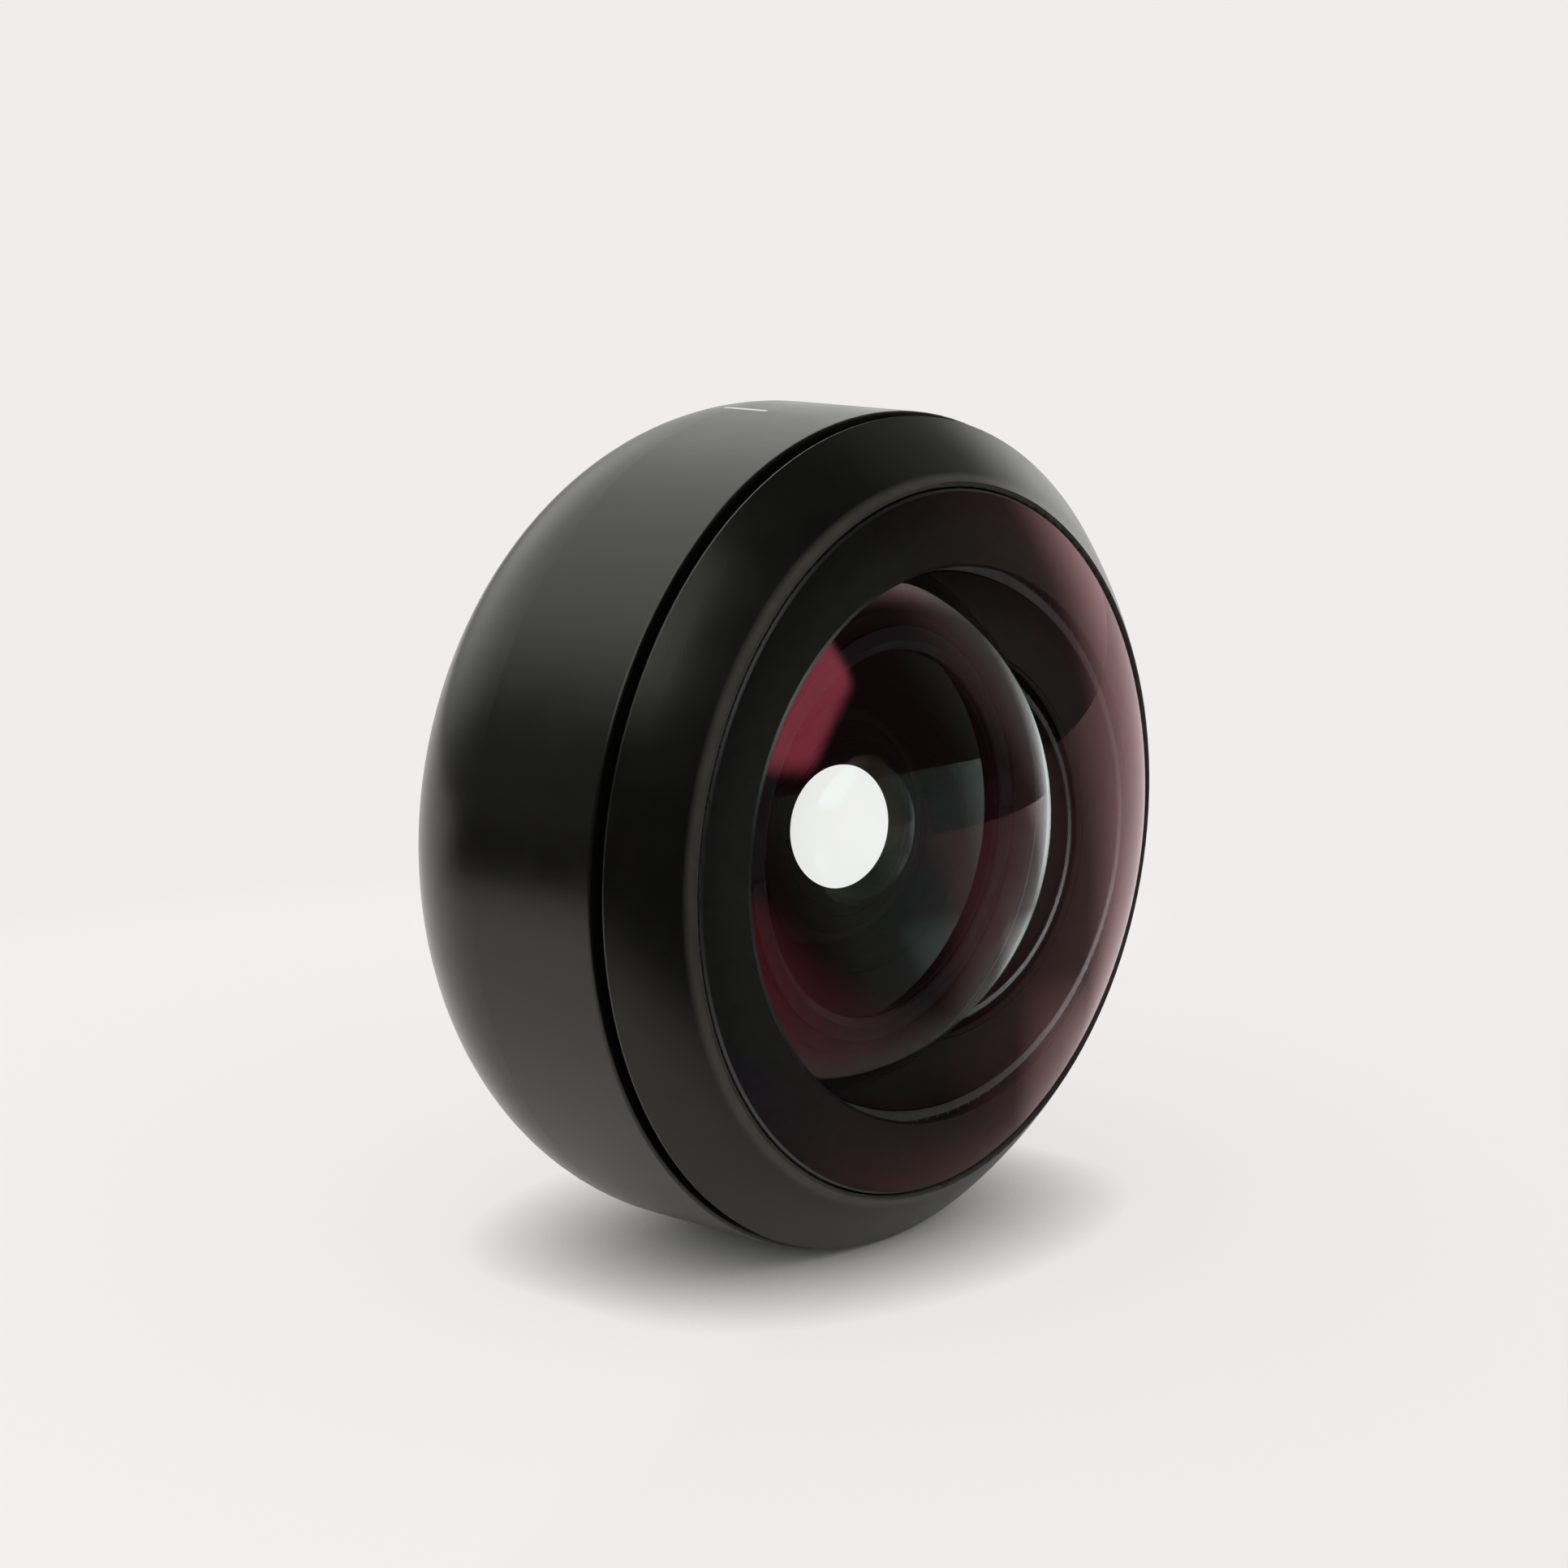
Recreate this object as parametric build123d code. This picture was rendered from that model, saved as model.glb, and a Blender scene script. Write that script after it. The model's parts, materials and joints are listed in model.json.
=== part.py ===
from build123d import *
import math
import os

# Fisheye add-on lens for a phone, in millimetres.
# The optical axis is the Y axis, the front glass looks towards -Y and +Z is up.
# The origin is the centre of the bayonet's seat, the plane that meets the phone's lens plate.
# Profiles are drawn as points (radius, forward), where forward is the distance in front of that seat.

# Outside of the body
band_radius = 19.0
band_length = 7.0
shoulder_arc = 7.85
shoulder_turn = 49.0
heel_arc = 5.0
body_edge_round = 0.15
parting_gap = 0.35

# Front bezel
bezel_width = 3.2
bezel_edge_round = 0.3
bezel_shoulder_inset = 0.19
bezel_height = 2.95
bezel_crown_radius = 26.0
bezel_counterbore = 0.55
lip_edge_width = 0.13
lip_edge_round = 0.16
lip_gap = 0.08

# Inside of the body
band_wall = 1.0
flange_depth = 1.8
cavity_ledge = 2.5
hub_radius = 12.0
plate_thickness = 2.0
web_thickness = 3.0

# Front dome lens
dome_front_radius = 27.4
dome_inner_radius = 16.1
dome_thickness = 2.5
dome_recess = 0.04
dome_neck_height = 1.09
dome_edge_height = 1.0
dome_step_width = 0.3
dome_bevel = 0.1
hollow_bevel = 0.1
seal_thickness = 0.25
cup_wall = 0.6

# Second lens and its ring
second_clear_radius = 8.9
second_ledge = 0.6
second_front_radius = 60.0
second_back_radius = 9.5
second_thickness = 1.4
second_gap = 6.1
second_edge_height = 3.7
second_shelf_step = 0.2
ring_thread_step = 0.35
ring_height = 0.55
ring_bevel = 0.35
collar_wall = 0.6
collar_depth = 0.25
light_cone_depth = 0.5
light_cone_narrowing = 0.7

# Rear cell and its glass
doublet_clear_radius = 5.45
doublet_front_radius = 9.0
doublet_joint_radius = -15.0
doublet_back_radius = -40.0
doublet_front_thickness = 3.6
doublet_back_thickness = 1.0
glass_ledge = 0.45
cell_back = 0.7
cell_lip = 0.45
cell_flare = 0.5
cell_wall = 0.65
tail_wall = 1.15
stop_thickness = 0.15
stop_radius = 3.25
spacer_bore_radius = 4.5
spacer_recess = 0.25
front_spacer_length = 1.05
rear_spacer_length = 0.45
rear_clear_radius = 5.0
rear_front_radius = 60.0
rear_back_radius = -25.0
rear_thickness = 2.0
rear_ring_height = 1.6
rear_ring_step = 0.4

# Bayonet
neck_gap = 0.2
neck_wall = 1.15
neck_length = 2.4
plate_reach = 2.55
lug_reach = 1.35
lug_thickness = 1.1
lug_width = 44.0
lug_angles = (90.0, 270.0)
lug_chamfer = 0.15

# Mount screws, small countersunk ones
screw_reach = 1.3
screw_angles = (0.0, 120.0, 240.0)
screw_shank_radius = 0.7
screw_head_radius = 1.1
screw_head_height = 0.6
screw_length = 4.2
screw_socket_radius = 0.5
screw_socket_depth = 0.4

# Detent plungers and their springs
plunger_reach = 1.55
plunger_angles = (60.0, 300.0)
plunger_nose_radius = 0.5
plunger_nose_height = 0.45
plunger_collar_radius = 0.75
plunger_collar_depth = 1.2
plunger_collar_length = 0.6
spring_hole_depth = 2.6
spring_wire = 0.14
spring_turns = 6.5

# Mark on the band
index_angle = -6.4
index_width = 0.26
index_length = 2.55
index_depth = 0.15
index_setback = 4.95

# Fits
slip_gap = 0.05
seat_gap = 0.05
running_gap = 0.04
notch_width = 0.8
notch_depth = 0.35

# Radii that several pieces share, each one a wall or a gap away from the last
flange_radius = band_radius - band_wall
cavity_radius = flange_radius - cavity_ledge
dome_neck_radius = band_radius - bezel_width
dome_step_radius = dome_neck_radius + dome_step_width
lip_bore_radius = dome_neck_radius + lip_gap
lip_ridge_radius = lip_bore_radius + lip_edge_width
cup_bore_radius = dome_step_radius + slip_gap
cup_radius = cup_bore_radius + cup_wall
second_edge_radius = second_clear_radius + second_ledge
collar_bore_radius = second_edge_radius + slip_gap
ring_radius = collar_bore_radius + ring_thread_step
collar_radius = ring_radius + collar_wall
cell_glass_radius = doublet_clear_radius + glass_ledge
cell_bore_radius = cell_glass_radius + slip_gap
cell_thread_radius = cell_bore_radius + rear_ring_step
cell_radius = cell_thread_radius + cell_wall
tail_radius = cell_radius + slip_gap + tail_wall
neck_bore_radius = cell_radius + neck_gap
neck_radius = neck_bore_radius + neck_wall
plate_radius = neck_radius + plate_reach
lug_radius = neck_radius + lug_reach
screw_circle_radius = neck_radius + screw_reach
plunger_circle_radius = neck_radius + plunger_reach

# Places along the axis that several pieces share
shoulder_rise = shoulder_arc * math.sin(math.radians(shoulder_turn))
heel_rise = heel_arc * (1 - math.sin(math.radians(shoulder_turn)))
band_back = heel_rise + shoulder_rise
body_front = band_back + band_length
bezel_back = body_front + parting_gap
flange_back = body_front - flange_depth
flange_front = bezel_back + bezel_counterbore
lip_top = bezel_back + bezel_height
dome_rim = lip_top - dome_recess
dome_step = dome_rim - dome_neck_height
dome_back = dome_step - dome_edge_height
bezel_shelf = dome_step + seal_thickness
web_front = plate_thickness + web_thickness


def drop(curve_radius, radius):
    """How far a spherical surface falls back from its vertex at a radius; negative when it rises."""
    return curve_radius - math.copysign(math.sqrt(curve_radius**2 - radius**2), curve_radius)


dome_vertex = dome_rim + drop(dome_front_radius, dome_neck_radius - dome_bevel) + dome_bevel
dome_inner_vertex = dome_vertex - dome_thickness
hollow_edge = dome_back + hollow_bevel
dome_opening_rise = dome_inner_radius - (dome_inner_vertex - hollow_edge)
dome_opening_radius = math.sqrt(dome_inner_radius**2 - dome_opening_rise**2)
second_vertex = dome_inner_vertex - second_gap
second_rim = second_vertex - drop(second_front_radius, second_clear_radius)
second_back = second_rim - second_edge_height
second_opening_rise = second_back_radius - (second_vertex - second_thickness - second_back)
second_opening_radius = math.sqrt(second_back_radius**2 - second_opening_rise**2)
cell_front = second_back - light_cone_depth - seat_gap
doublet_rim = cell_front - cell_lip
doublet_vertex = doublet_rim + drop(doublet_front_radius, doublet_clear_radius)
doublet_joint = doublet_vertex - doublet_front_thickness
doublet_back = doublet_joint - doublet_back_thickness
doublet_back_rim = doublet_back - drop(doublet_back_radius, doublet_clear_radius)
stop_front = doublet_back_rim - front_spacer_length
stop_back = stop_front - stop_thickness
rear_front_rim = stop_back - rear_spacer_length
rear_vertex = rear_front_rim + drop(rear_front_radius, rear_clear_radius)
rear_back_vertex = rear_vertex - rear_thickness
rear_back_rim = rear_back_vertex - drop(rear_back_radius, rear_clear_radius)
plunger_collar_back = plunger_collar_depth
plunger_collar_front = plunger_collar_back + plunger_collar_length
spring_hole_end = plate_thickness + spring_hole_depth


def spot(radius, forward):
    """A point of a profile: the sketch's X is the radius, and its Y runs backwards along the axis."""
    return (radius, -forward)


def outline(*points):
    """Straight edges through points given as (radius, forward)."""
    return [Line(spot(*a), spot(*b)) for a, b in zip(points, points[1:])]


def arc(start, middle, end):
    """A round edge through three points given as (radius, forward)."""
    return ThreePointArc(spot(*start), spot(*middle), spot(*end))


def turned(edges):
    """Turns a closed profile about the optical axis."""
    return revolve(make_face(Wire(edges)), Axis.Y, 360)


def ring(inner_radius, outer_radius, back, front):
    """A plain ring, or a disc when the inner radius is 0."""
    corners = [(inner_radius, back), (outer_radius, back), (outer_radius, front), (inner_radius, front)]
    return turned(outline(*corners, corners[0]))


def around(solid, angle):
    """Moves a solid made at the top of the lens round the axis; positive angles go towards +X."""
    return solid.rotate(Axis.Y, angle)


def pin_at_top(radius, circle_radius, back, front):
    """A round pin along the axis, at the top of a circle."""
    middle = (back + front) / 2
    return Pos(0, -middle, circle_radius) * Rot(90, 0, 0) * Cylinder(radius, front - back)


def surface_arc(vertex, curve_radius, radius):
    """The edge of a lens surface from the axis out to a radius."""
    def at(r):
        return (r, vertex - drop(curve_radius, r))

    return arc(at(0), at(radius / 2), at(radius))


def element(front_vertex, front_curve, front_clear, back_vertex, back_curve, back_clear, edge):
    """A lens with a ground flat round each surface, unless the surface runs out to the edge."""
    front_rim = front_vertex - drop(front_curve, front_clear)
    back_rim = back_vertex - drop(back_curve, back_clear)
    edges = [surface_arc(front_vertex, front_curve, front_clear)]
    edges += outline((front_clear, front_rim), (edge, front_rim)) if edge > front_clear else []
    edges += outline((edge, front_rim), (edge, back_rim))
    edges += outline((edge, back_rim), (back_clear, back_rim)) if edge > back_clear else []
    edges += [surface_arc(back_vertex, back_curve, back_clear)]
    edges += outline((0, back_vertex), (0, front_vertex))
    return turned(edges)


def notched(ring_solid, radius, face, facing):
    """Cuts two spanner notches across a ring's face; facing is 1 for a front face, -1 for a rear one."""
    middle = face - facing * notch_depth / 2
    bar = Pos(0, -middle, 0) * Box(2 * radius + 1, notch_depth, notch_width)
    return ring_solid - bar


def shell_outside():
    """The body's outside: rear flat, heel, shoulder, band and the rounded edge at the parting gap."""
    turn = math.radians(shoulder_turn)
    shoulder_centre = (band_radius - shoulder_arc, band_back)
    heel_radius = shoulder_centre[0] + (shoulder_arc - heel_arc) * math.cos(turn)
    heel_centre = (heel_radius, heel_arc)

    def on(centre, size, angle):
        return (centre[0] + size * math.cos(angle), centre[1] - size * math.sin(angle))

    heel_start = on(heel_centre, heel_arc, math.pi / 2)
    heel_middle = on(heel_centre, heel_arc, (turn + math.pi / 2) / 2)
    joint = on(shoulder_centre, shoulder_arc, turn)
    shoulder_middle = on(shoulder_centre, shoulder_arc, turn / 2)
    band_start = (band_radius, band_back)
    band_end = (band_radius, body_front - body_edge_round)
    round_centre = (band_radius - body_edge_round, body_front - body_edge_round)
    round_middle = on(round_centre, body_edge_round, -math.pi / 4)
    front_edge = (band_radius - body_edge_round, body_front)
    return heel_start, front_edge, [
        arc(heel_start, heel_middle, joint),
        arc(joint, shoulder_middle, band_start),
        *outline(band_start, band_end),
        arc(band_end, round_middle, front_edge),
    ]


def index_cutter():
    """The groove of the index line: a narrow slot with round ends, cut down into the band."""
    middle = body_front - index_setback - index_length / 2
    slot = SlotOverall(index_length, index_width, rotation=90)
    upright = extrude(slot, band_radius)
    cutter = Pos(0, -middle, band_radius - index_depth) * upright
    return around(cutter, index_angle)


def make_shell_blank():
    recess_radius = plate_radius + slip_gap
    bore_radius = flange_radius + slip_gap
    tail_bore = tail_radius + slip_gap
    heel_start, front_edge, outside = shell_outside()
    inside = outline(
        front_edge,
        (bore_radius, body_front),
        (bore_radius, flange_back),
        (cavity_radius, flange_back),
        (cavity_radius, web_front),
        (tail_bore, web_front),
        (tail_bore, plate_thickness),
        (recess_radius, plate_thickness),
        (recess_radius, 0),
        heel_start,
    )
    blank = turned(outside + inside)
    for angle in plunger_angles:
        hole_radius = plunger_collar_radius + running_gap
        hole = pin_at_top(hole_radius, plunger_circle_radius, plate_thickness, spring_hole_end)
        blank -= around(hole, angle)
    for angle in screw_angles:
        hole = pin_at_top(screw_shank_radius, screw_circle_radius, plate_thickness, screw_length + seat_gap)
        blank -= around(hole, angle)
    return blank


def make_bezel():
    bore = lip_bore_radius
    cup_hole = cup_radius + slip_gap
    counterbore = flange_radius + slip_gap
    shoulder = (band_radius - bezel_shoulder_inset, bezel_back + bezel_edge_round)
    foot = (shoulder[0] - bezel_edge_round, bezel_back)
    foot_middle = (
        foot[0] + bezel_edge_round * math.sin(math.pi / 4),
        shoulder[1] - bezel_edge_round * math.cos(math.pi / 4),
    )
    crown_end = (lip_ridge_radius + lip_edge_round * 0.7, lip_top - lip_edge_round * 0.3)
    chord = math.dist(shoulder, crown_end)
    sagitta = bezel_crown_radius - math.sqrt(bezel_crown_radius**2 - chord**2 / 4)
    out = ((crown_end[1] - shoulder[1]) / chord, (shoulder[0] - crown_end[0]) / chord)
    crown_middle = (
        (shoulder[0] + crown_end[0]) / 2 + out[0] * sagitta,
        (shoulder[1] + crown_end[1]) / 2 + out[1] * sagitta,
    )
    lip_inner = (bore, lip_top - lip_edge_round)
    edges = [
        arc(foot, foot_middle, shoulder),
        arc(shoulder, crown_middle, crown_end),
        arc(crown_end, (lip_ridge_radius, lip_top), lip_inner),
        *outline(
            lip_inner,
            (bore, bezel_shelf),
            (cup_hole, bezel_shelf),
            (cup_hole, flange_front),
            (counterbore, flange_front),
            (counterbore, bezel_back),
            foot,
        ),
    ]
    return turned(edges)


def make_dome():
    front_clear = dome_neck_radius - dome_bevel
    edges = [
        surface_arc(dome_vertex, dome_front_radius, front_clear),
        *outline(
            (front_clear, dome_rim + dome_bevel),
            (dome_neck_radius, dome_rim),
            (dome_neck_radius, dome_step),
            (dome_step_radius, dome_step),
            (dome_step_radius, dome_back),
            (dome_opening_radius + hollow_bevel, dome_back),
            (dome_opening_radius, hollow_edge),
        ),
        surface_arc(dome_inner_vertex, dome_inner_radius, dome_opening_radius),
        *outline((0, dome_inner_vertex), (0, dome_vertex)),
    ]
    return turned(edges)


def make_second_lens():
    edges = [
        surface_arc(second_vertex, second_front_radius, second_clear_radius),
        *outline(
            (second_clear_radius, second_rim),
            (second_edge_radius, second_rim),
            (second_edge_radius, second_back),
            (second_opening_radius, second_back),
        ),
        surface_arc(second_vertex - second_thickness, second_back_radius, second_opening_radius),
        *outline((0, second_vertex - second_thickness), (0, second_vertex)),
    ]
    return turned(edges)


def make_second_ring():
    inner = second_clear_radius
    outer = ring_radius - slip_gap
    top = second_rim + ring_height
    corners = [
        (inner, second_rim),
        (outer, second_rim),
        (outer, top),
        (inner + ring_bevel, top),
        (inner, top - ring_bevel),
    ]
    return notched(turned(outline(*corners, corners[0])), outer, top, 1)


def make_barrel():
    cup_top = bezel_shelf - seat_gap
    collar_top = second_rim + collar_depth
    tail_back = plate_thickness + seat_gap
    cell_hole = cell_radius + slip_gap
    cell_stop = cell_front + seat_gap
    cone_top = second_opening_radius + second_shelf_step
    corners = [
        (tail_radius, tail_back),
        (tail_radius, web_front + seat_gap),
        (hub_radius, web_front + seat_gap),
        (hub_radius, flange_back),
        (flange_radius, flange_back),
        (flange_radius, flange_front),
        (cup_radius, flange_front),
        (cup_radius, cup_top),
        (cup_bore_radius, cup_top),
        (cup_bore_radius, dome_back),
        (dome_opening_radius, dome_back),
        (collar_radius, collar_top),
        (ring_radius, collar_top),
        (ring_radius, second_rim),
        (collar_bore_radius, second_rim),
        (collar_bore_radius, second_back),
        (cone_top, second_back),
        (cone_top - light_cone_narrowing, cell_stop),
        (cell_hole, cell_stop),
        (cell_hole, tail_back),
    ]
    return turned(outline(*corners, corners[0]))


def make_cell():
    lip_bore = doublet_clear_radius + slip_gap
    thread = cell_thread_radius
    thread_depth = rear_back_rim
    corners = [
        (cell_radius, cell_back),
        (cell_radius, cell_front),
        (lip_bore + cell_flare, cell_front),
        (lip_bore, doublet_rim),
        (cell_bore_radius, doublet_rim),
        (cell_bore_radius, thread_depth),
        (thread, thread_depth),
        (thread, cell_back),
    ]
    return turned(outline(*corners, corners[0]))


def make_front_spacer():
    """A ring with a smaller bore behind the doublet's edge, clear of the doublet's rounded back."""
    lip = doublet_back_rim - spacer_recess
    corners = [
        (spacer_bore_radius, stop_front),
        (cell_glass_radius, stop_front),
        (cell_glass_radius, doublet_back_rim),
        (doublet_clear_radius, doublet_back_rim),
        (doublet_clear_radius, lip),
        (spacer_bore_radius, lip),
    ]
    return turned(outline(*corners, corners[0]))


def make_rear_ring():
    inner = rear_clear_radius
    outer = cell_thread_radius - slip_gap
    back = rear_back_rim - rear_ring_height
    return notched(ring(inner, outer, back, rear_back_rim), outer, back, -1)


def make_lug(angle):
    """A lug that reaches out from the neck's rear end, with its outer edges chamfered."""
    lug = ring(neck_bore_radius, lug_radius, -neck_length, lug_thickness - neck_length)
    half = lug_width / 2
    far = 2 * lug_radius
    side = far * math.sin(math.radians(half))
    up = far * math.cos(math.radians(half))
    corners = [(0, 0), (-side, up), (side, up)]
    wedge_face = make_face(Polyline(*corners, close=True))
    wedge = extrude(Plane.XZ * wedge_face, amount=2 * neck_length, both=True)
    piece = lug & around(wedge, angle)
    rims = piece.edges().filter_by(GeomType.CIRCLE).group_by(SortBy.RADIUS)[-1]
    return chamfer(rims, lug_chamfer)


def make_bayonet():
    mount = ring(neck_bore_radius, plate_radius, 0, plate_thickness)
    mount += ring(neck_bore_radius, neck_radius, -neck_length, 0)
    for angle in lug_angles:
        mount += make_lug(angle)
    for angle in screw_angles:
        mount -= around(screw_body(), angle)
    for angle in plunger_angles:
        nose_hole = plunger_nose_radius + running_gap
        collar_hole = plunger_collar_radius + running_gap
        circle = plunger_circle_radius
        mount -= around(pin_at_top(nose_hole, circle, -seat_gap, plunger_collar_back), angle)
        mount -= around(pin_at_top(collar_hole, circle, plunger_collar_back, plate_thickness), angle)
    return mount


def screw_body():
    """A countersunk screw at the top of the screw circle, without its socket."""
    shank = pin_at_top(screw_shank_radius, screw_circle_radius, screw_head_height, screw_length)
    head = Cone(screw_shank_radius, screw_head_radius, screw_head_height)
    return shank + Pos(0, -screw_head_height / 2, screw_circle_radius) * Rot(-90, 0, 0) * head


def make_screws():
    socket = extrude(RegularPolygon(screw_socket_radius, 6), screw_socket_depth)
    placed = Pos(0, 0, screw_circle_radius) * Rot(90, 0, 0) * socket
    screw = screw_body() - placed
    return Compound([around(screw, angle) for angle in screw_angles])


def make_plunger(angle):
    """A round-nosed pin whose collar stops against the bayonet plate."""
    circle = plunger_circle_radius
    dome_radius = (plunger_nose_radius**2 + plunger_nose_height**2) / (2 * plunger_nose_height)
    shank = pin_at_top(plunger_nose_radius, circle, 0, plunger_collar_front)
    collar = pin_at_top(plunger_collar_radius, circle, plunger_collar_back, plunger_collar_front)
    ball = Pos(0, plunger_nose_height - dome_radius, circle) * Sphere(dome_radius)
    nose = ball & pin_at_top(plunger_nose_radius, circle, -plunger_nose_height, 0)
    return around(shank + collar + nose, angle)


def make_spring(angle):
    """A coil spring between the plunger's collar and the end of its hole."""
    free_length = spring_hole_end - plunger_collar_front
    coil_radius = plunger_collar_radius - spring_wire
    height = free_length - spring_wire
    path = Helix(height / spring_turns, height, coil_radius)
    section = Plane(path @ 0, z_dir=path % 0) * Circle(spring_wire / 2)
    coil = sweep(section, path=path)
    start = plunger_collar_front + spring_wire / 2
    return around(Pos(0, -start, plunger_circle_radius) * Rot(90, 0, 0) * coil, angle)


def build_parts():
    blank = make_shell_blank()
    groove = index_cutter()
    parts = {
        "rear_shell": blank - groove,
        "index_mark": blank & groove,
        "front_bezel": make_bezel(),
        "lens_barrel": make_barrel(),
        "front_dome_lens": make_dome(),
        "dome_seal_ring": ring(dome_neck_radius, dome_step_radius, dome_step, bezel_shelf),
        "second_lens": make_second_lens(),
        "second_lens_ring": make_second_ring(),
        "rear_lens_cell": make_cell(),
        "doublet_front_lens": element(
            doublet_vertex, doublet_front_radius, doublet_clear_radius,
            doublet_joint, doublet_joint_radius, cell_glass_radius, cell_glass_radius,
        ),
        "doublet_rear_lens": element(
            doublet_joint, doublet_joint_radius, cell_glass_radius,
            doublet_back, doublet_back_radius, doublet_clear_radius, cell_glass_radius,
        ),
        "front_spacer_ring": make_front_spacer(),
        "aperture_stop": ring(stop_radius, cell_glass_radius, stop_back, stop_front),
        "rear_spacer_ring": ring(doublet_clear_radius, cell_glass_radius, rear_front_rim, stop_back),
        "rear_lens": element(
            rear_vertex, rear_front_radius, rear_clear_radius,
            rear_back_vertex, rear_back_radius, rear_clear_radius, cell_glass_radius,
        ),
        "rear_lens_ring": make_rear_ring(),
        "bayonet_mount": make_bayonet(),
        "mount_screws": make_screws(),
    }
    for number, angle in enumerate(plunger_angles, start=1):
        parts[f"detent_plunger_{number}"] = make_plunger(angle)
        parts[f"detent_spring_{number}"] = make_spring(angle)
    return parts


os.makedirs("parts", exist_ok=True)
for node_name, solid in build_parts().items():
    export_step(solid, f"parts/{node_name}.step")
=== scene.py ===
"""Looks of a fisheye add-on lens for a phone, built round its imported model.

Profiles are points (radius, forward) in millimetres, as in the part's own source: forward is the
distance in front of the bayonet's seat, so a point lies at y = -forward.
"""
import json
import math

import bpy
import bmesh
from mathutils import Matrix, Vector


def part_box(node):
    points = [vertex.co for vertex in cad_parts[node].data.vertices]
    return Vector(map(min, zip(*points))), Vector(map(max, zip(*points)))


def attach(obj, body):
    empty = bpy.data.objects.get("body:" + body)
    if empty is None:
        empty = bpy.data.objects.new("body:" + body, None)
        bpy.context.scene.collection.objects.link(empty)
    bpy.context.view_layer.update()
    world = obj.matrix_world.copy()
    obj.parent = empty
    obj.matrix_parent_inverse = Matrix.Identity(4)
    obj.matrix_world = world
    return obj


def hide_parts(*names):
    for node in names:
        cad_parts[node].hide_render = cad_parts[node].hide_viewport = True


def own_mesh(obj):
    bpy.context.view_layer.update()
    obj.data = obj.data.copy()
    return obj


MM = 0.001

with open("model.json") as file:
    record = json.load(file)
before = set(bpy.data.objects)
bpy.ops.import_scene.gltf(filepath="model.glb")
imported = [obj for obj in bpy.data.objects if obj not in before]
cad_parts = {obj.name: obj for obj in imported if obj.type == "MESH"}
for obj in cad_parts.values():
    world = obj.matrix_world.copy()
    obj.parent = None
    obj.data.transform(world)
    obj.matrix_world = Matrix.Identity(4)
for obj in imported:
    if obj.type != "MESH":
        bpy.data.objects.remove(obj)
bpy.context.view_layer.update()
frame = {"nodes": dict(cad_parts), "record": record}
nodes = frame["nodes"]
scene = bpy.context.scene


# Node trees

WHITE = (1.0, 1.0, 1.0)
# Where most of a noise texture's values lie
NOISE_RANGE = (0.3, 0.7)
RAMP_SOCKETS = ("Value", "From Min", "From Max", "To Min", "To Max")
# The Mix node's factor, two colours and mixed colour, among its sockets for other kinds of value
MIX_COLOUR_INPUTS = (0, 6, 7)
MIX_COLOUR_OUTPUT = 2


class Graph:
    """A node tree and short ways to build it."""

    def __init__(self, tree):
        self.tree = tree

    def node(self, kind, **values):
        """A new node, with values for its sockets and its settings."""
        made = self.tree.nodes.new(kind)
        for key, value in values.items():
            if key in made.inputs:
                made.inputs[key].default_value = value
            else:
                setattr(made, key, value)
        return made

    def link(self, source, target):
        self.tree.links.new(source, target)

    def feed(self, sockets, sources):
        """Sets each socket to its number or colour, or links it to its source."""
        for socket, source in zip(sockets, sources):
            if isinstance(source, (int, float, tuple)):
                socket.default_value = source
            else:
                self.link(source, socket)

    def place(self, coordinates="Object"):
        return self.node("ShaderNodeTexCoord").outputs[coordinates]

    def maths(self, operation, a, b):
        made = self.node("ShaderNodeMath", operation=operation)
        self.feed(made.inputs, (a, b))
        return made.outputs[0]

    def dot(self, vector, direction):
        made = self.node("ShaderNodeVectorMath", operation="DOT_PRODUCT")
        self.feed(made.inputs, (vector, direction))
        return made.outputs["Value"]

    def ramp(self, value, start, stop, low=0.0, high=1.0, shape="SMOOTHSTEP"):
        """Goes from low to high as the value goes from start to stop."""
        made = self.node("ShaderNodeMapRange", interpolation_type=shape)
        self.feed([made.inputs[name] for name in RAMP_SOCKETS], (value, start, stop, low, high))
        return made.outputs["Result"]

    def across(self, vector, edge, low=0.0, high=1.0):
        """Goes from low to high over an edge: its direction, and where along it the change lies."""
        direction, start, stop = edge
        return self.ramp(self.dot(vector, direction), start, stop, low, high)

    def mix(self, fac, a, b, blend="MIX"):
        made = self.node("ShaderNodeMix", data_type="RGBA", blend_type=blend)
        self.feed([made.inputs[number] for number in MIX_COLOUR_INPUTS], (fac, a, b))
        return made.outputs[MIX_COLOUR_OUTPUT]

    def blend(self, fac, a, b):
        made = self.node("ShaderNodeMixShader")
        self.feed(made.inputs, (fac, a, b))
        return made.outputs[0]


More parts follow.
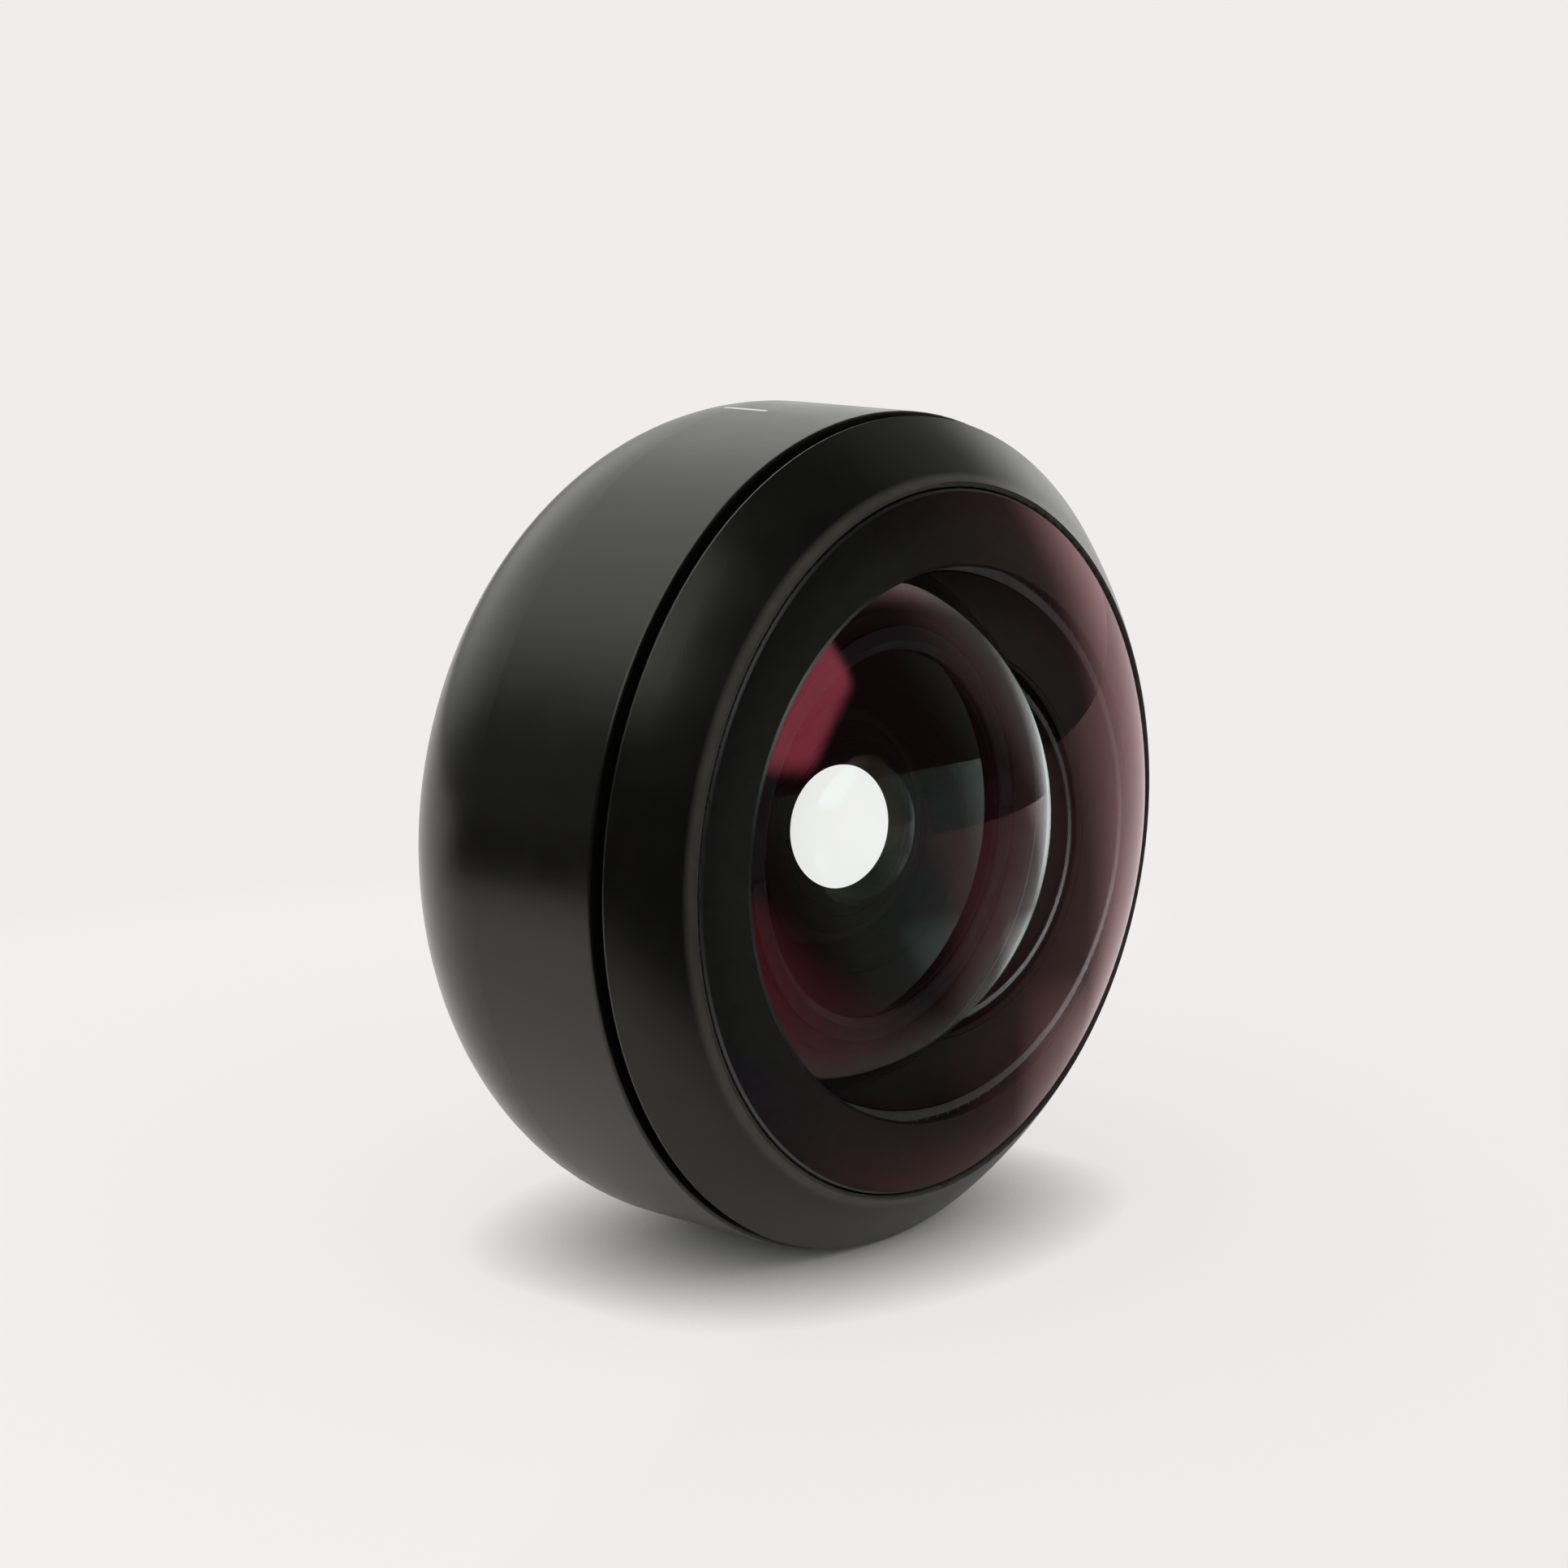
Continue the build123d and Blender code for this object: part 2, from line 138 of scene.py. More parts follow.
class Shader(Graph):
    """A Principled material and short ways to add texture to it."""

    def __init__(self, name, **values):
        self.material = bpy.data.materials.new(name)
        self.material.use_nodes = True
        super().__init__(self.material.node_tree)
        self.principled = self.tree.nodes["Principled BSDF"]
        for key, value in values.items():
            self.principled.inputs[key.replace("_", " ")].default_value = value

    def noise(self, scale, detail):
        made = self.node("ShaderNodeTexNoise", Scale=scale, Detail=detail)
        self.link(self.place(), made.inputs["Vector"])
        return made.outputs["Fac"]

    def split_place(self):
        made = self.node("ShaderNodeSeparateXYZ")
        self.link(self.place(), made.inputs["Vector"])
        return made.outputs

    def mottle(self, dark, light, scale):
        """A base colour that wanders between two close tones."""
        ramp = self.node("ShaderNodeValToRGB")
        for element, position, colour in zip(ramp.color_ramp.elements, NOISE_RANGE, (dark, light)):
            element.position = position
            element.color = (*colour, 1)
        self.link(self.noise(scale, detail=4.0), ramp.inputs["Fac"])
        self.link(ramp.outputs["Color"], self.principled.inputs["Base Color"])
        return self

    def painted_lip_highlight(self, edge, dark, light, scale):
        """A painted highlight: a paler mottle over the base colour, in front of a place along the
        optical axis.
        """
        colour = self.principled.inputs["Base Color"]
        base = colour.links[0].from_socket
        self.mottle(dark, light, scale)
        highlight_tone = colour.links[0].from_socket
        mask = self.ramp(self.split_place()["Y"], *edge, shape="LINEAR")
        self.link(self.mix(mask, base, highlight_tone), colour)
        return self

    def rough(self, low, high, scale):
        """A roughness that wanders between two values."""
        uneven = self.ramp(self.noise(scale, detail=3.0), *NOISE_RANGE, low, high, shape="LINEAR")
        self.link(uneven, self.principled.inputs["Roughness"])
        return self

    def bump(self, height, distance):
        made = self.node("ShaderNodeBump", Distance=distance, Strength=1.0)
        self.link(height, made.inputs["Height"])
        self.link(made.outputs["Normal"], self.principled.inputs["Normal"])
        return self

    def grain(self, scale, distance):
        """The fine grain of a blasted, moulded or painted surface."""
        return self.bump(self.noise(scale, detail=2.0), distance)

    def turned(self, pitch, distance):
        """Fine rings left by the lathe, round the optical axis."""
        split = self.split_place()
        flat = self.node("ShaderNodeCombineXYZ")
        self.link(split["X"], flat.inputs["X"])
        self.link(split["Z"], flat.inputs["Z"])
        length = self.node("ShaderNodeVectorMath", operation="LENGTH")
        self.link(flat.outputs["Vector"], length.inputs[0])
        along = self.node("ShaderNodeCombineXYZ")
        self.link(length.outputs["Value"], along.inputs["X"])
        self.link(split["Y"], along.inputs["Y"])
        lines = self.node("ShaderNodeTexNoise", Scale=1 / pitch, Detail=1.0)
        self.link(along.outputs["Vector"], lines.inputs["Vector"])
        return self.bump(lines.outputs["Fac"], distance)


# Materials

COATING_INDEX = 1.38
# Pitch and height of the lathe's rings on the parts inside, in metres
TURNING = (6e-5, 2e-6)
# Where along y the bezel's lip starts and ends to turn paler with a painted highlight, in metres
LIP_EDGE = (-0.01706, -0.01726)
# Darker and lighter tone of the paint under the glass and of the ground glass, as shares of a level
PAINT_TONES = ((1.0, 0.95, 0.82), (1.1, 1.05, 0.9))
GROUND_TONES = ((0.9, 0.9, 0.9), (1.0, 1.08, 1.04))
GROUND_SCALE = 1500.0


def satin_black(name):
    """The body's satin anodising, whose gloss is faintly olive."""
    made = Shader(name, IOR=1.45, Specular_Tint=(1.0, 0.99, 0.87, 1.0))
    made.mottle((0.0022, 0.0022, 0.0020), (0.0034, 0.0034, 0.0031), 900.0)
    made.rough(0.21, 0.26, 350.0)
    return made.grain(14000.0, 1.6e-6)


def matt_black(name, index, sheen, dark, light, low, high):
    """Matt anodising of the parts inside, from its gloss, its two tones and its roughness."""
    made = Shader(name, IOR=index, Specular_Tint=(*sheen, 1.0))
    made.mottle(dark, light, 1200.0)
    made.rough(low, high, 600.0)
    return made.turned(*TURNING)


def glass(name, index, film, sheen=WHITE):
    """Polished glass, with a coating film nanometres thick and reflections of the colour sheen."""
    return Shader(
        name, Base_Color=(*WHITE, 1), Roughness=0.0, IOR=index, Specular_Tint=(*sheen, 1),
        Transmission_Weight=1.0, Thin_Film_Thickness=film, Thin_Film_IOR=COATING_INDEX,
    ).material


def at_level(level, tones):
    """The tones made as bright as a level."""
    return [tuple(level * part for part in tone) for tone in tones]


def paint_under_glass(name, level):
    """Black paint on a ground face, seen through the glass."""
    made = Shader(name, Roughness=0.8, Specular_IOR_Level=0.0)
    return made.mottle(*at_level(level, PAINT_TONES), GROUND_SCALE).material


def ground_glass(name, level):
    """A finely ground face of the glass, which reflects that share of the light from inside."""
    made = Shader(name, Roughness=0.38, Metallic=1.0)
    return made.mottle(*at_level(level, GROUND_TONES), GROUND_SCALE).material


anodised = satin_black("anodised_satin_black")

bezel_black = satin_black("anodised_bezel_black")
# The lip's paler mottle is a painted highlight, standing in for the light that its rounded ridge
# catches
bezel_black.painted_lip_highlight(LIP_EDGE, (0.032, 0.031, 0.026), (0.044, 0.042, 0.035), 900.0)

inner_black = matt_black("anodised_matt_black", 1.4, (1.0, 0.72, 0.66),
                         (0.0045, 0.004, 0.004), (0.007, 0.006, 0.006), 0.5, 0.6)
barrel_black = matt_black("anodised_brown_black", 1.5, (1.0, 0.68, 0.5),
                          (0.0048, 0.004, 0.0034), (0.0075, 0.006, 0.005), 0.45, 0.55)
# The ring is lighter and greener than the other matt blacks: a painted grey-green reflection over
# its black anodising
ring_black_painted_reflection = matt_black("anodised_black_painted_reflection", 1.45, WHITE,
                        (0.026, 0.032, 0.030), (0.036, 0.043, 0.041), 0.45, 0.55)

mark_white = Shader("index_paint", Roughness=0.5)
mark_white.mottle((0.6, 0.6, 0.57), (0.68, 0.68, 0.65), 2500.0)
mark_white.grain(9000.0, 4e-6)

seal_rubber = Shader("seal_rubber", Roughness=0.6)
seal_rubber.mottle((0.006, 0.006, 0.006), (0.012, 0.012, 0.012), 2500.0)
seal_rubber.grain(6000.0, 5e-6)

stop_film = Shader("stop_film", Roughness=0.75)
stop_film.mottle((0.006, 0.006, 0.006), (0.011, 0.011, 0.011), 3000.0)
stop_film.grain(8000.0, 3e-6)

mount_steel = Shader("turned_steel", Metallic=1.0)
mount_steel.mottle((0.45, 0.45, 0.44), (0.485, 0.485, 0.47), 700.0)
mount_steel.rough(0.26, 0.31, 500.0)
mount_steel.turned(1.2e-4, 1.6e-6)

screw_steel = Shader("black_oxide_steel", Metallic=1.0)
screw_steel.mottle((0.05, 0.05, 0.055), (0.085, 0.085, 0.09), 1500.0)
screw_steel.rough(0.3, 0.42, 900.0)
screw_steel.grain(5000.0, 3e-6)

pin_steel = Shader("polished_pin_steel", Metallic=1.0)
pin_steel.mottle((0.52, 0.52, 0.51), (0.60, 0.60, 0.58), 1500.0)
pin_steel.rough(0.14, 0.22, 1500.0)
pin_steel.grain(7000.0, 1.5e-6)

spring_steel = Shader("spring_wire", Metallic=1.0)
spring_steel.mottle((0.40, 0.40, 0.40), (0.52, 0.52, 0.51), 2500.0)
spring_steel.rough(0.22, 0.32, 2000.0)
spring_steel.grain(7000.0, 2e-6)

DOME_INDEX = 1.8
SECOND_INDEX = 1.62
CROWN_INDEX = 1.62
FLINT_INDEX = 1.75
REAR_INDEX = 1.55

dome_glass = glass("dome_glass", DOME_INDEX, 110.0, sheen=(1.0, 0.67, 0.8))
hollow_glass = glass("hollow_glass", DOME_INDEX, 0.0, sheen=(1.0, 0.14, 0.21))
second_glass = glass("second_glass", SECOND_INDEX, 0.0, sheen=(0.3, 0.55, 0.42))
crown_glass = glass("crown_glass", CROWN_INDEX, 105.0)
cement_joint = glass("cement_joint", FLINT_INDEX / CROWN_INDEX, 0.0)
flint_glass = glass("flint_glass", FLINT_INDEX, 110.0)
rear_glass = glass("rear_glass", REAR_INDEX, 105.0)
edge_paint = paint_under_glass("blackened_glass_edge", 0.005)
# The flat's black paint is much lighter than on the lens edges: partly painted light, standing in
# for light falling on the flat
flat_paint_with_painted_light = paint_under_glass("blackened_dome_flat_painted_light", 0.115)
side_paint = paint_under_glass("blackened_dome_side", 0.02)
bevel_glass = ground_glass("ground_bevel", 0.1)
bright_glass = ground_glass("ground_rim", 0.85)
neck_glass = ground_glass("ground_neck", 0.9)
shelf_glass = ground_glass("ground_shelf", 0.95)

SLOT_FINISHES = {
    "body_black": anodised,
    "inner_black": inner_black,
    "mark_white": mark_white,
    "seal_rubber": seal_rubber,
    "stop_black": stop_film,
    "mount_steel": mount_steel,
    "screw_steel": screw_steel,
    "pin_steel": pin_steel,
    "spring_steel": spring_steel,
}
NODE_FINISHES = {
    "front_bezel": bezel_black,
    "lens_barrel": barrel_black,
    "second_lens_ring": ring_black_painted_reflection,
}
for subpart in frame["record"]["subparts"]:
    finish = SLOT_FINISHES.get(subpart["material_slot"])
    finish = NODE_FINISHES.get(subpart["node"], finish)
    if finish:
        mesh = nodes[subpart["node"]].data
        mesh.materials.clear()
        mesh.materials.append(finish.material)


# Shapes

TURN_STEPS = 256
ON_AXIS = 1e-6
MERGE_DISTANCE = 1e-7
SHARP_ANGLE = math.radians(20)


def drop(curve, radius):
    """How far a spherical surface falls back from its vertex at a radius."""
    return curve - math.copysign(math.sqrt(curve**2 - radius**2), curve)


def reach(curve, fall):
    """The radius at which a hollow surface has fallen back from its vertex by a distance."""
    return math.sqrt(curve**2 - (curve - fall)**2)


def surface(vertex, curve, radius, steps=48):
    """Points of a lens surface from the axis out to a radius."""
    points = []
    for k in range(steps + 1):
        out = radius * math.sin(k / steps * math.pi / 2)
        points.append((out, vertex - drop(curve, out)))
    return points


def facets(points, materials):
    """A strip from each point to the next, each with its own material."""
    return list(zip(zip(points, points[1:]), materials))


def round_angles(steps):
    return [2 * math.pi * k / steps for k in range(steps)]


def skin_rings(work, rings, material=0):
    """Smooth faces from each ring of points to the next; a ring may be one point."""
    for near, far in zip(rings, rings[1:]):
        count = max(len(near), len(far))
        for k in range(count):
            n = (k + 1) % count
            if len(near) == 1:
                corners = (near[0], far[k], far[n])
            elif len(far) == 1:
                corners = (near[k], far[0], near[n])
            else:
                corners = (near[k], far[k], far[n], near[n])
            face = work.faces.new(corners)
            face.material_index = material
            face.smooth = True


def make_piece(name, work, materials):
    """Turns a finished bmesh into a piece with its materials."""
    bmesh.ops.recalc_face_normals(work, faces=work.faces)
    mesh = bpy.data.meshes.new(name)
    work.to_mesh(mesh)
    work.free()
    for material in materials:
        mesh.materials.append(material)
    piece = bpy.data.objects.new(name, mesh)
    scene.collection.objects.link(piece)
    return piece


def lathe(name, strips, replaced):
    """Turns strips (points, material) about the optical axis into one piece."""
    work = bmesh.new()
    materials = []
    for points, material in strips:
        if material not in materials:
            materials.append(material)
        rings = []
        for radius, forward in points:
            y = -forward * MM
            if radius < ON_AXIS:
                rings.append([work.verts.new((0, y, 0))])
                continue
            rings.append([
                work.verts.new((radius * MM * math.sin(a), y, radius * MM * math.cos(a)))
                for a in round_angles(TURN_STEPS)
            ])
        skin_rings(work, rings, materials.index(material))
    bmesh.ops.remove_doubles(work, verts=work.verts, dist=MERGE_DISTANCE)
    piece = make_piece(name, work, materials)
    piece.data.set_sharp_from_angle(angle=SHARP_ANGLE)
    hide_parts(replaced)
    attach(piece, "lens_body")


def span(node):
    """(front, back, outer radius) of a round node, in millimetres."""
    low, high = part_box(node)
    return -low.y / MM, -high.y / MM, high.x / MM


# Shapes of the glass surfaces, in millimetres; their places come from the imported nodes
DOME_FRONT_RADIUS = 27.4
DOME_INNER_RADIUS = 16.1
DOME_THICKNESS = 2.5
DOME_NECK_RADIUS = 15.8
DOME_NECK_HEIGHT = 1.09
DOME_BEVEL = 0.1
DOME_CLEAR = DOME_NECK_RADIUS - DOME_BEVEL
DOME_STEPS = 72
HOLLOW_BEVEL = 0.1
RIM_LINE = 0.18
SECOND_FRONT_RADIUS = 60.0
SECOND_BACK_RADIUS = 9.5
SECOND_THICKNESS = 1.4
SECOND_CLEAR = 8.9
DOUBLET_FRONT_RADIUS = 9.0
DOUBLET_JOINT_RADIUS = -15.0
DOUBLET_BACK_RADIUS = -40.0
DOUBLET_CLEAR = 5.45
REAR_FRONT_RADIUS = 60.0
REAR_BACK_RADIUS = -25.0
REAR_CLEAR = 5.0

# How far blackened faces stand off from the metal that they rest on
SKIN = 0.004

# Front dome: the polished faces, the ground rim and the blackened flat that shows through the
# front, its paint lightened with painted light
vertex, seat, step_radius = span("front_dome_lens")
rim = vertex - DOME_BEVEL - drop(DOME_FRONT_RADIUS, DOME_CLEAR)
step = rim - DOME_NECK_HEIGHT
inner_vertex = vertex - DOME_THICKNESS
hollow_edge = seat + HOLLOW_BEVEL
opening = reach(DOME_INNER_RADIUS, inner_vertex - hollow_edge)
flat = seat + SKIN
lathe("dome_lens", [
    (surface(vertex, DOME_FRONT_RADIUS, DOME_CLEAR, DOME_STEPS), dome_glass),
    *facets([
        (DOME_CLEAR, rim + DOME_BEVEL),
        (DOME_NECK_RADIUS, rim),
        (DOME_NECK_RADIUS, rim - RIM_LINE),
        (DOME_NECK_RADIUS, step),
        (step_radius, step),
        (step_radius, flat),
        (opening + HOLLOW_BEVEL, flat),
        (opening, hollow_edge),
    ], [bevel_glass, bright_glass, neck_glass, shelf_glass, side_paint, flat_paint_with_painted_light, bevel_glass]),
    (surface(inner_vertex, DOME_INNER_RADIUS, opening, DOME_STEPS)[::-1], hollow_glass),
], "front_dome_lens")

# Second lens
vertex, seat, edge_radius = span("second_lens")
rim = vertex - drop(SECOND_FRONT_RADIUS, SECOND_CLEAR)
back_vertex = vertex - SECOND_THICKNESS
opening = reach(SECOND_BACK_RADIUS, back_vertex - seat)
lathe("second_lens_glass", [
    (surface(vertex, SECOND_FRONT_RADIUS, SECOND_CLEAR), second_glass),
    *facets([
        (SECOND_CLEAR, rim),
        (edge_radius, rim - SKIN),
        (edge_radius, seat + SKIN),
        (opening, seat),
    ], [edge_paint] * 3),
    (surface(back_vertex, SECOND_BACK_RADIUS, opening)[::-1], second_glass),
], "second_lens")

# Cemented pair: the joint is one surface with the two indices' ratio
vertex, joint_vertex, edge_radius = span("doublet_front_lens")
rim = vertex - drop(DOUBLET_FRONT_RADIUS, DOUBLET_CLEAR)
joint_rim = joint_vertex - drop(DOUBLET_JOINT_RADIUS, edge_radius)
lathe("doublet_front_glass", [
    (surface(vertex, DOUBLET_FRONT_RADIUS, DOUBLET_CLEAR), crown_glass),
    *facets([
        (DOUBLET_CLEAR, rim),
        (edge_radius, rim - SKIN),
        (edge_radius, joint_rim),
    ], [edge_paint] * 2),
], "doublet_front_lens")

_, back_vertex, edge_radius = span("doublet_rear_lens")
back_rim = back_vertex - drop(DOUBLET_BACK_RADIUS, DOUBLET_CLEAR)
lathe("doublet_rear_glass", [
    (surface(joint_vertex, DOUBLET_JOINT_RADIUS, edge_radius), cement_joint),
    *facets([
        (edge_radius, joint_rim),
        (edge_radius, back_rim + SKIN),
        (DOUBLET_CLEAR, back_rim),
    ], [edge_paint] * 2),
    (surface(back_vertex, DOUBLET_BACK_RADIUS, DOUBLET_CLEAR)[::-1], flint_glass),
], "doublet_rear_lens")

# Rear lens
vertex, back_vertex, edge_radius = span("rear_lens")
rim = vertex - drop(REAR_FRONT_RADIUS, REAR_CLEAR)
back_rim = back_vertex - drop(REAR_BACK_RADIUS, REAR_CLEAR)
lathe("rear_lens_glass", [
    (surface(vertex, REAR_FRONT_RADIUS, REAR_CLEAR), rear_glass),
    *facets([
        (REAR_CLEAR, rim),
        (edge_radius, rim - SKIN),
        (edge_radius, back_rim + SKIN),
        (REAR_CLEAR, back_rim),
    ], [edge_paint] * 3),
    (surface(back_vertex, REAR_BACK_RADIUS, REAR_CLEAR)[::-1], rear_glass),
], "rear_lens")


# Detent springs: coils of round wire that shorten as their plungers are pressed in
SPRING_WIRE = 0.14 * MM
SPRING_TURNS = 6.5
STEPS_PER_TURN = 40
WIRE_SIDES = 12


def coil(name, node):
    """A helical spring in the place of a node."""
    low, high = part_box(node)
    middle = (low + high) / 2
    radius = (high.x - low.x - SPRING_WIRE) / 2
    length = high.y - low.y - SPRING_WIRE
    steps = round(SPRING_TURNS * STEPS_PER_TURN)
    along = Vector((0, 1, 0))
    work = bmesh.new()
    rings = []
    for k in range(steps + 1):
        turn = 2 * math.pi * k / STEPS_PER_TURN
        outward = Vector((math.cos(turn), 0, math.sin(turn)))
        on_axis = Vector((middle.x, high.y - SPRING_WIRE / 2 - length * k / steps, middle.z))
        centre = on_axis + outward * radius
        rings.append([
            work.verts.new(centre + (outward * math.cos(a) + along * math.sin(a)) * SPRING_WIRE / 2)
            for a in round_angles(WIRE_SIDES)
        ])
    skin_rings(work, rings)
    work.faces.new(rings[0])
    work.faces.new(rings[-1])
    piece = make_piece(name, work, [spring_steel.material])
    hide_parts(node)
    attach(piece, "lens_body")
    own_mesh(piece)


for number in (1, 2):
    coil(f"detent_coil_{number}", f"detent_spring_{number}")


# Camera, in millimetres and degrees, with its clips in metres. It shows the middle of the parting
# groove, which lies GROOVE in front of the bayonet's seat, at the pixel AIM.
CAMERA_TURN = -49.1
CAMERA_RISE = 11.25
CAMERA_DISTANCE = 171.9
FOCAL_PIXELS = 4707.0
IMAGE_PIXELS = 1932
AIM = (1089.5, 1027.9)
GROOVE = 14.3255
SENSOR_WIDTH = 36
CLIP_NEAR = 0.005
CLIP_FAR = 200

# A lamp has the direction that it stands in, the angle that it fills and its strength
LAMPS = (
    ("sky", (0.0, 0.0, 1.0), 160, 0.75),
    ("fill", (-0.6, -0.6, 0.5), 90, 0.3),
    ("overhead", (-0.3, 0.05, 0.95), 60, 0.13),
)

# Light of the room. The softbox overhead is bounded by edges: a direction, and where it fades in.
# A patch has the direction of its middle, the angles at which it starts and ends to fade, and its
# strength.
ROOM_DARK = 0.04
SOFTBOX = 1.9
SOFTBOX_EDGES = (
    ((-1.0, 0.1, 0.0), 0.0, 0.1),
    ((-0.61, 0.70, 0.36), -0.04, 0.08),
    ((0.0, 0.0, 1.0), 0.40, 0.56),
    ((0.0, -1.0, 0.0), -0.60, -0.35),
)
PATCHES = (
    ((0.12, 0.72, 0.69), 18, 50, 1.3),
    ((0.93, 0.37, 0.0), 10, 38, 1.0),
    ((0.85, 0.05, 0.5), 12, 40, 0.19),
    ((-0.7, 0.64, 0.3), 10, 35, 0.12),
)

# The colour of the backdrop, and of what the pupil shows behind the lens, with that view's edge
BACKDROP = (0.863, 0.847, 0.839)
THROUGH = (1.058, 0.999, 0.970)
BEHIND_EDGE = ((0, 1, 0), 0.28, 0.42)

# The floor: its height in millimetres, half its width in metres, the share of it that glows for the
# camera, and how near the lens that glow is shaded, in metres
FLOOR_HEIGHT = -19.0
FLOOR_HALF = 40.0
FLOOR_GLOW = 0.8
SHADE_REACH = 0.006
SHADE_SAMPLES = 8

# How pale each part of the floor is in reflections, and its edges. Lengths are in metres from the
# middle of the bayonet's seat. The near part is dimmer for light that has passed the glass.
NEAR_SHARE = 1.12
NEAR_INSIDE = 0.55
NEAR_LENGTH = (0.06, 0.13)
NEAR_EDGE = ((-0.42, 1, 0), -0.030, -0.010)
RIGHT_EDGES = (((0, 1, 0), -0.65, -0.15), ((1, 0.45, 0), -0.45, 0.15))
FAR_SHARE = 0.05
FRONT_SHARE = 0.3
FRONT_EDGE = ((1, 0, 0), 0.05, 0.35)
APRON_SHARE = 0.8
APRON_LENGTH = (0.035, 0.055)
APRON_EDGE = ((1, 0, 0), 0.35, 0.6)


def camera_axes():
    """The camera's directions to its right, up and backwards."""
    turn, lift = math.radians(CAMERA_TURN), math.radians(CAMERA_RISE)
    level = math.cos(lift)
    back = Vector((math.sin(turn) * level, -math.cos(turn) * level, math.sin(lift)))
    right = Vector((0, 0, 1)).cross(back).normalized()
    return right, back.cross(right), back


def make_camera():
    """The camera at the photograph's place."""
    right, up, back = camera_axes()
    x = (AIM[0] - IMAGE_PIXELS / 2) / FOCAL_PIXELS * CAMERA_DISTANCE
    y = -(AIM[1] - IMAGE_PIXELS / 2) / FOCAL_PIXELS * CAMERA_DISTANCE
    place = back * CAMERA_DISTANCE - right * x - up * y + Vector((0, -GROOVE, 0))
    turned = Matrix((right, up, back)).transposed().to_4x4()
    data = bpy.data.cameras.new("camera")
    data.sensor_width = SENSOR_WIDTH
    data.lens = SENSOR_WIDTH * FOCAL_PIXELS / IMAGE_PIXELS
    data.clip_start = CLIP_NEAR
    data.clip_end = CLIP_FAR
    camera = bpy.data.objects.new("camera", data)
    scene.collection.objects.link(camera)
    camera.matrix_world = Matrix.Translation(place * MM) @ turned
    scene.camera = camera


def floor_share(paper, place, facing, inside):
    """How pale the floor is in reflections, from its place and the direction that it lies in."""
    length = paper.node("ShaderNodeVectorMath", operation="LENGTH")
    paper.link(place, length.inputs[0])
    away = length.outputs["Value"]
    near = paper.ramp(away, *NEAR_LENGTH, 1.0, 0.0)
    near = paper.maths("MULTIPLY", near, paper.across(place, NEAR_EDGE, 0.0, NEAR_SHARE))
    dimmer = paper.maths("MULTIPLY", inside, 1 - NEAR_INSIDE)
    near = paper.maths("MULTIPLY", near, paper.maths("SUBTRACT", 1.0, dimmer))
    right = paper.maths("MULTIPLY", *(paper.across(facing, edge) for edge in RIGHT_EDGES))
    front = paper.across(facing, FRONT_EDGE, FAR_SHARE, FRONT_SHARE)
    apron = paper.ramp(away, *APRON_LENGTH, APRON_SHARE, 0.0)
    apron = paper.maths("MULTIPLY", apron, paper.across(facing, APRON_EDGE))
    share = near
    for part in (right, front, apron):
        share = paper.maths("MAXIMUM", share, part)
    return share


